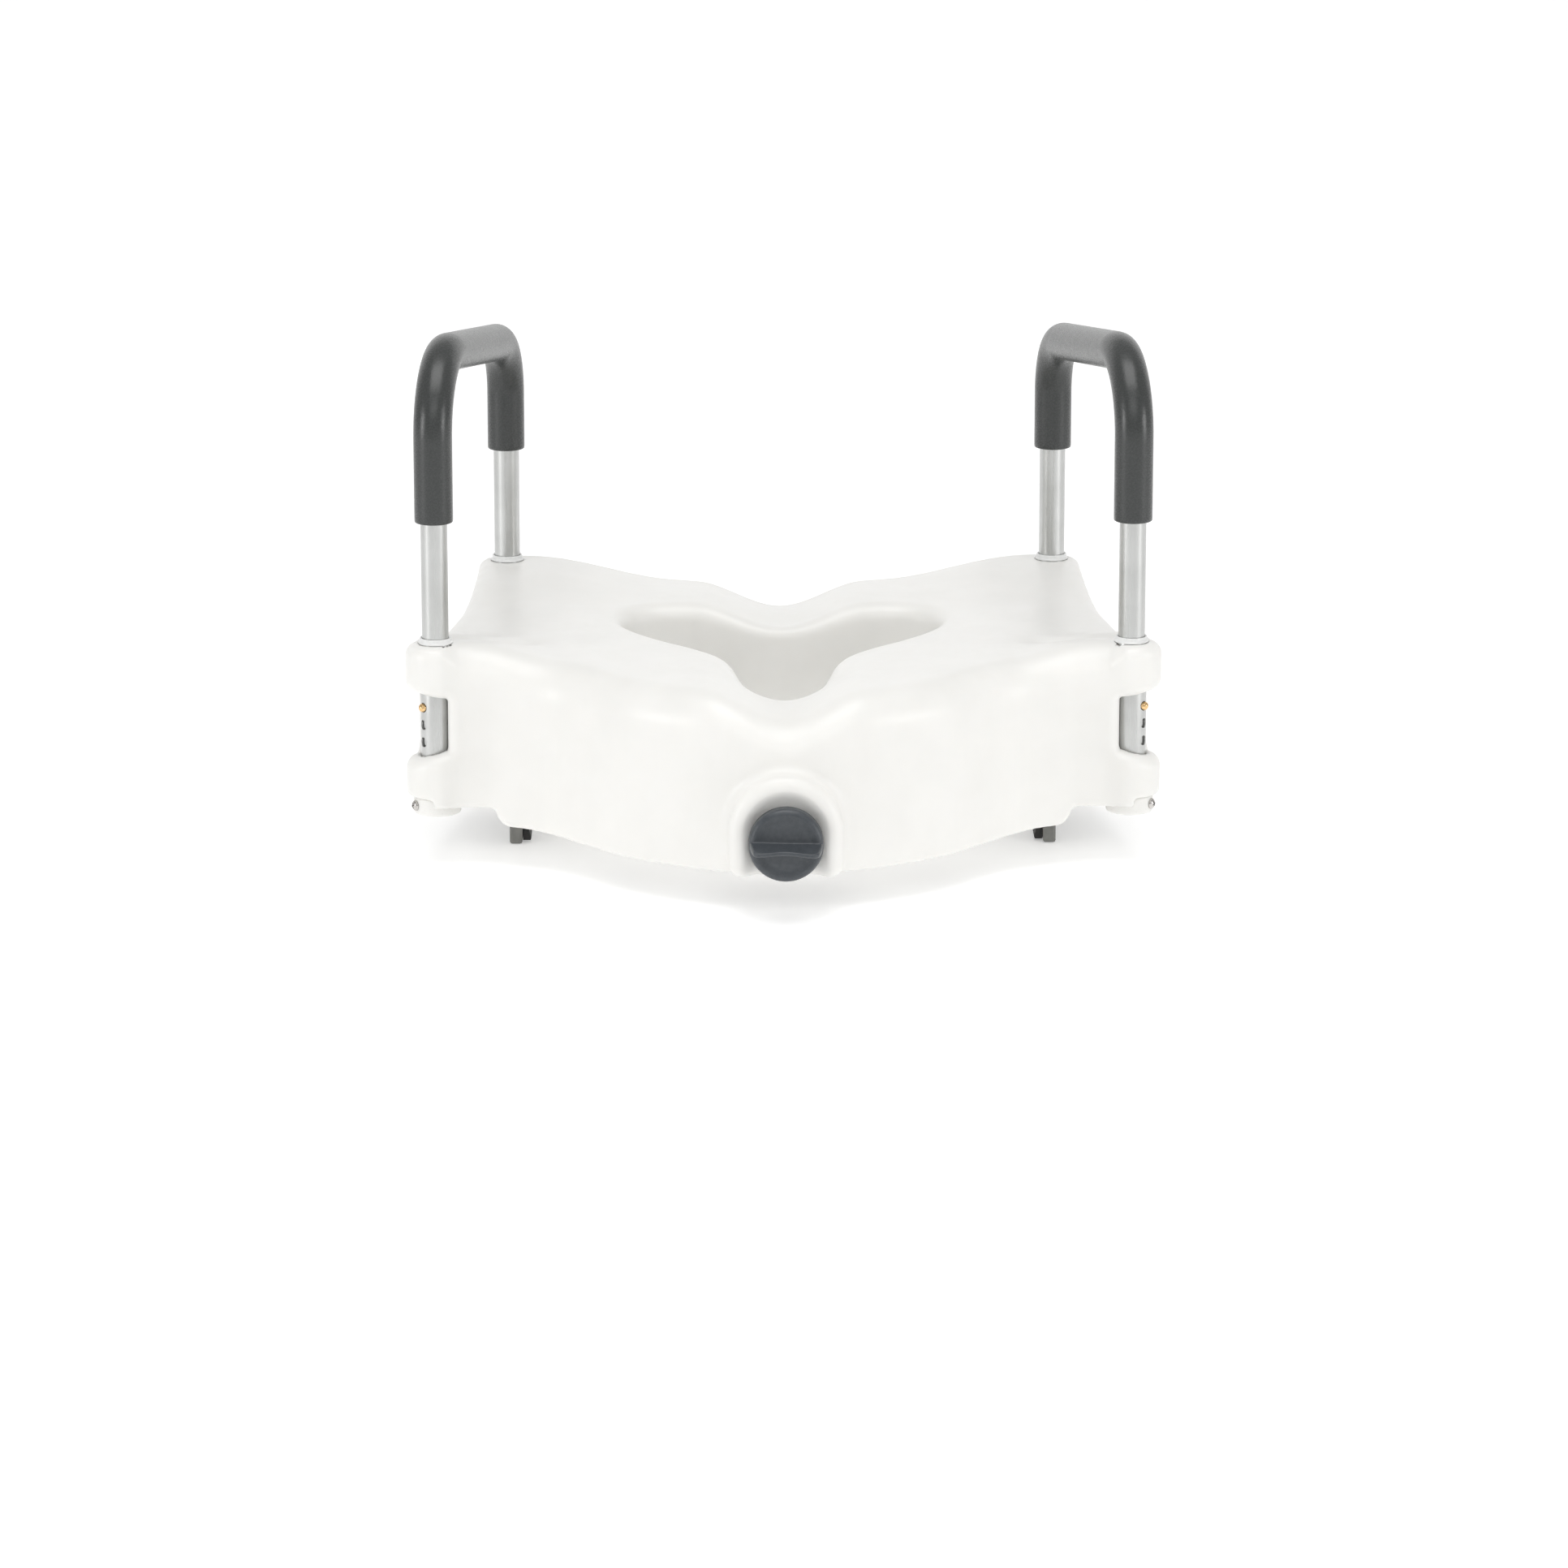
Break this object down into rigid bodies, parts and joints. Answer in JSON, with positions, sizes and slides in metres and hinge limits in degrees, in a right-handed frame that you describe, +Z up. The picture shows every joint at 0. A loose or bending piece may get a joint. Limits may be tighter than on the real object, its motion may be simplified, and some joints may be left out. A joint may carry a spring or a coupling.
{
  "type": "raised toilet seat",
  "caption": "Raised toilet seat with a keyhole-shaped opening, removable U-shaped support arms with foam grips, and a front knob that clamps it to the bowl.",
  "frame": {"origin": "on the standing plane, below the centre of the whole seat's bounding box", "axes": "+Z up, -Y to the front of the seat (the knob's side), +X to the right seen from the front"},
  "size_m": [0.5386, 0.4714, 0.3748],
  "materials": {
    "white_plastic": "satin blow-moulded polyethylene",
    "satin_aluminium": "satin anodised",
    "grey_foam": "closed-cell foam with a smooth satin skin",
    "grey_plastic": "satin moulded",
    "pale_nylon": "satin, slightly translucent",
    "brass": "polished",
    "plated_steel": "nickel plated",
    "dark_rubber": "matt"
  },
  "bodies": {
    "seat": {"seat_shell": "white_plastic", "receiver_tube_front_left": "satin_aluminium", "top_bushing_front_left": "pale_nylon", "socket_collar_front_left": "white_plastic", "collar_screw_front_left": "plated_steel", "rest_pad_front_left": "dark_rubber", "bracket_screw_front_left": "plated_steel", "receiver_tube_front_right": "satin_aluminium", "top_bushing_front_right": "pale_nylon", "socket_collar_front_right": "white_plastic", "collar_screw_front_right": "plated_steel", "rest_pad_front_right": "dark_rubber", "bracket_screw_front_right": "plated_steel", "receiver_tube_rear_left": "satin_aluminium", "top_bushing_rear_left": "pale_nylon", "socket_collar_rear_left": "white_plastic", "collar_screw_rear_left": "plated_steel", "rest_pad_rear_left": "dark_rubber", "bracket_screw_rear_left": "plated_steel", "receiver_tube_rear_right": "satin_aluminium", "top_bushing_rear_right": "pale_nylon", "socket_collar_rear_right": "white_plastic", "collar_screw_rear_right": "plated_steel", "rest_pad_rear_right": "dark_rubber", "bracket_screw_rear_right": "plated_steel", "side_bracket_left": "grey_plastic", "bracket_pad_left": "dark_rubber", "guide_pin_left": "plated_steel", "side_bracket_right": "grey_plastic", "bracket_pad_right": "dark_rubber", "guide_pin_right": "plated_steel", "spindle_bushing": "pale_nylon", "spindle_washer": "plated_steel"},
    "knob": {"knob": "grey_plastic", "clamp_spindle": "plated_steel", "spindle_circlip": "plated_steel"},
    "clamp": {"clamp_plate": "grey_plastic", "clamp_nut": "brass", "clamp_pad": "dark_rubber"},
    "left_arm": {"arm_tube_left": "satin_aluminium", "arm_grip_left": "grey_foam", "snap_spring_front_left": "plated_steel", "snap_spring_rear_left": "plated_steel"},
    "right_arm": {"arm_tube_right": "satin_aluminium", "arm_grip_right": "grey_foam", "snap_spring_front_right": "plated_steel", "snap_spring_rear_right": "plated_steel"},
    "front_left_button": {"snap_button_front_left": "brass"},
    "front_right_button": {"snap_button_front_right": "brass"},
    "rear_left_button": {"snap_button_rear_left": "brass"},
    "rear_right_button": {"snap_button_rear_right": "brass"}
  },
  "joints": [
    {"name": "knob_turn", "type": "hinge", "parent": "seat", "child": "knob", "pos_m": [0, -0.21775, 0.0535], "axis": [0, 1, 0], "range_deg": [0, 2160]},
    {"name": "clamp_slide", "type": "slide", "parent": "seat", "child": "clamp", "axis": [0, 1, 0], "range_m": [0, 0.024]},
    {"name": "left_arm_slide", "type": "slide", "parent": "seat", "child": "left_arm", "axis": [0, 0, 1], "range_m": [-0.0254, 0.085], "deforming": ["snap_button_front_left", "snap_button_rear_left"]},
    {"name": "right_arm_slide", "type": "slide", "parent": "seat", "child": "right_arm", "axis": [0, 0, 1], "range_m": [-0.0254, 0.085], "deforming": ["snap_button_front_right", "snap_button_rear_right"]},
    {"name": "front_left_button_press", "type": "slide", "parent": "left_arm", "child": "front_left_button", "axis": [-0.8192, -0.5736, 0], "range_m": [-0.0046, 0], "stiffness_N_per_m": 500, "springref_m": 0.002, "deforming": ["snap_spring_front_left"]},
    {"name": "front_right_button_press", "type": "slide", "parent": "right_arm", "child": "front_right_button", "axis": [0.8192, -0.5736, 0], "range_m": [-0.0046, 0], "stiffness_N_per_m": 500, "springref_m": 0.002, "deforming": ["snap_spring_front_right"]},
    {"name": "rear_left_button_press", "type": "slide", "parent": "left_arm", "child": "rear_left_button", "axis": [-0.8192, -0.5736, 0], "range_m": [-0.0046, 0], "stiffness_N_per_m": 500, "springref_m": 0.002, "deforming": ["snap_spring_rear_left"]},
    {"name": "rear_right_button_press", "type": "slide", "parent": "right_arm", "child": "rear_right_button", "axis": [0.8192, -0.5736, 0], "range_m": [-0.0046, 0], "stiffness_N_per_m": 500, "springref_m": 0.002, "deforming": ["snap_spring_rear_right"]}
  ],
  "couplings": [
    {"joint": "knob_turn", "follows": "clamp_slide", "rad_per_m": 1570.8}
  ]
}
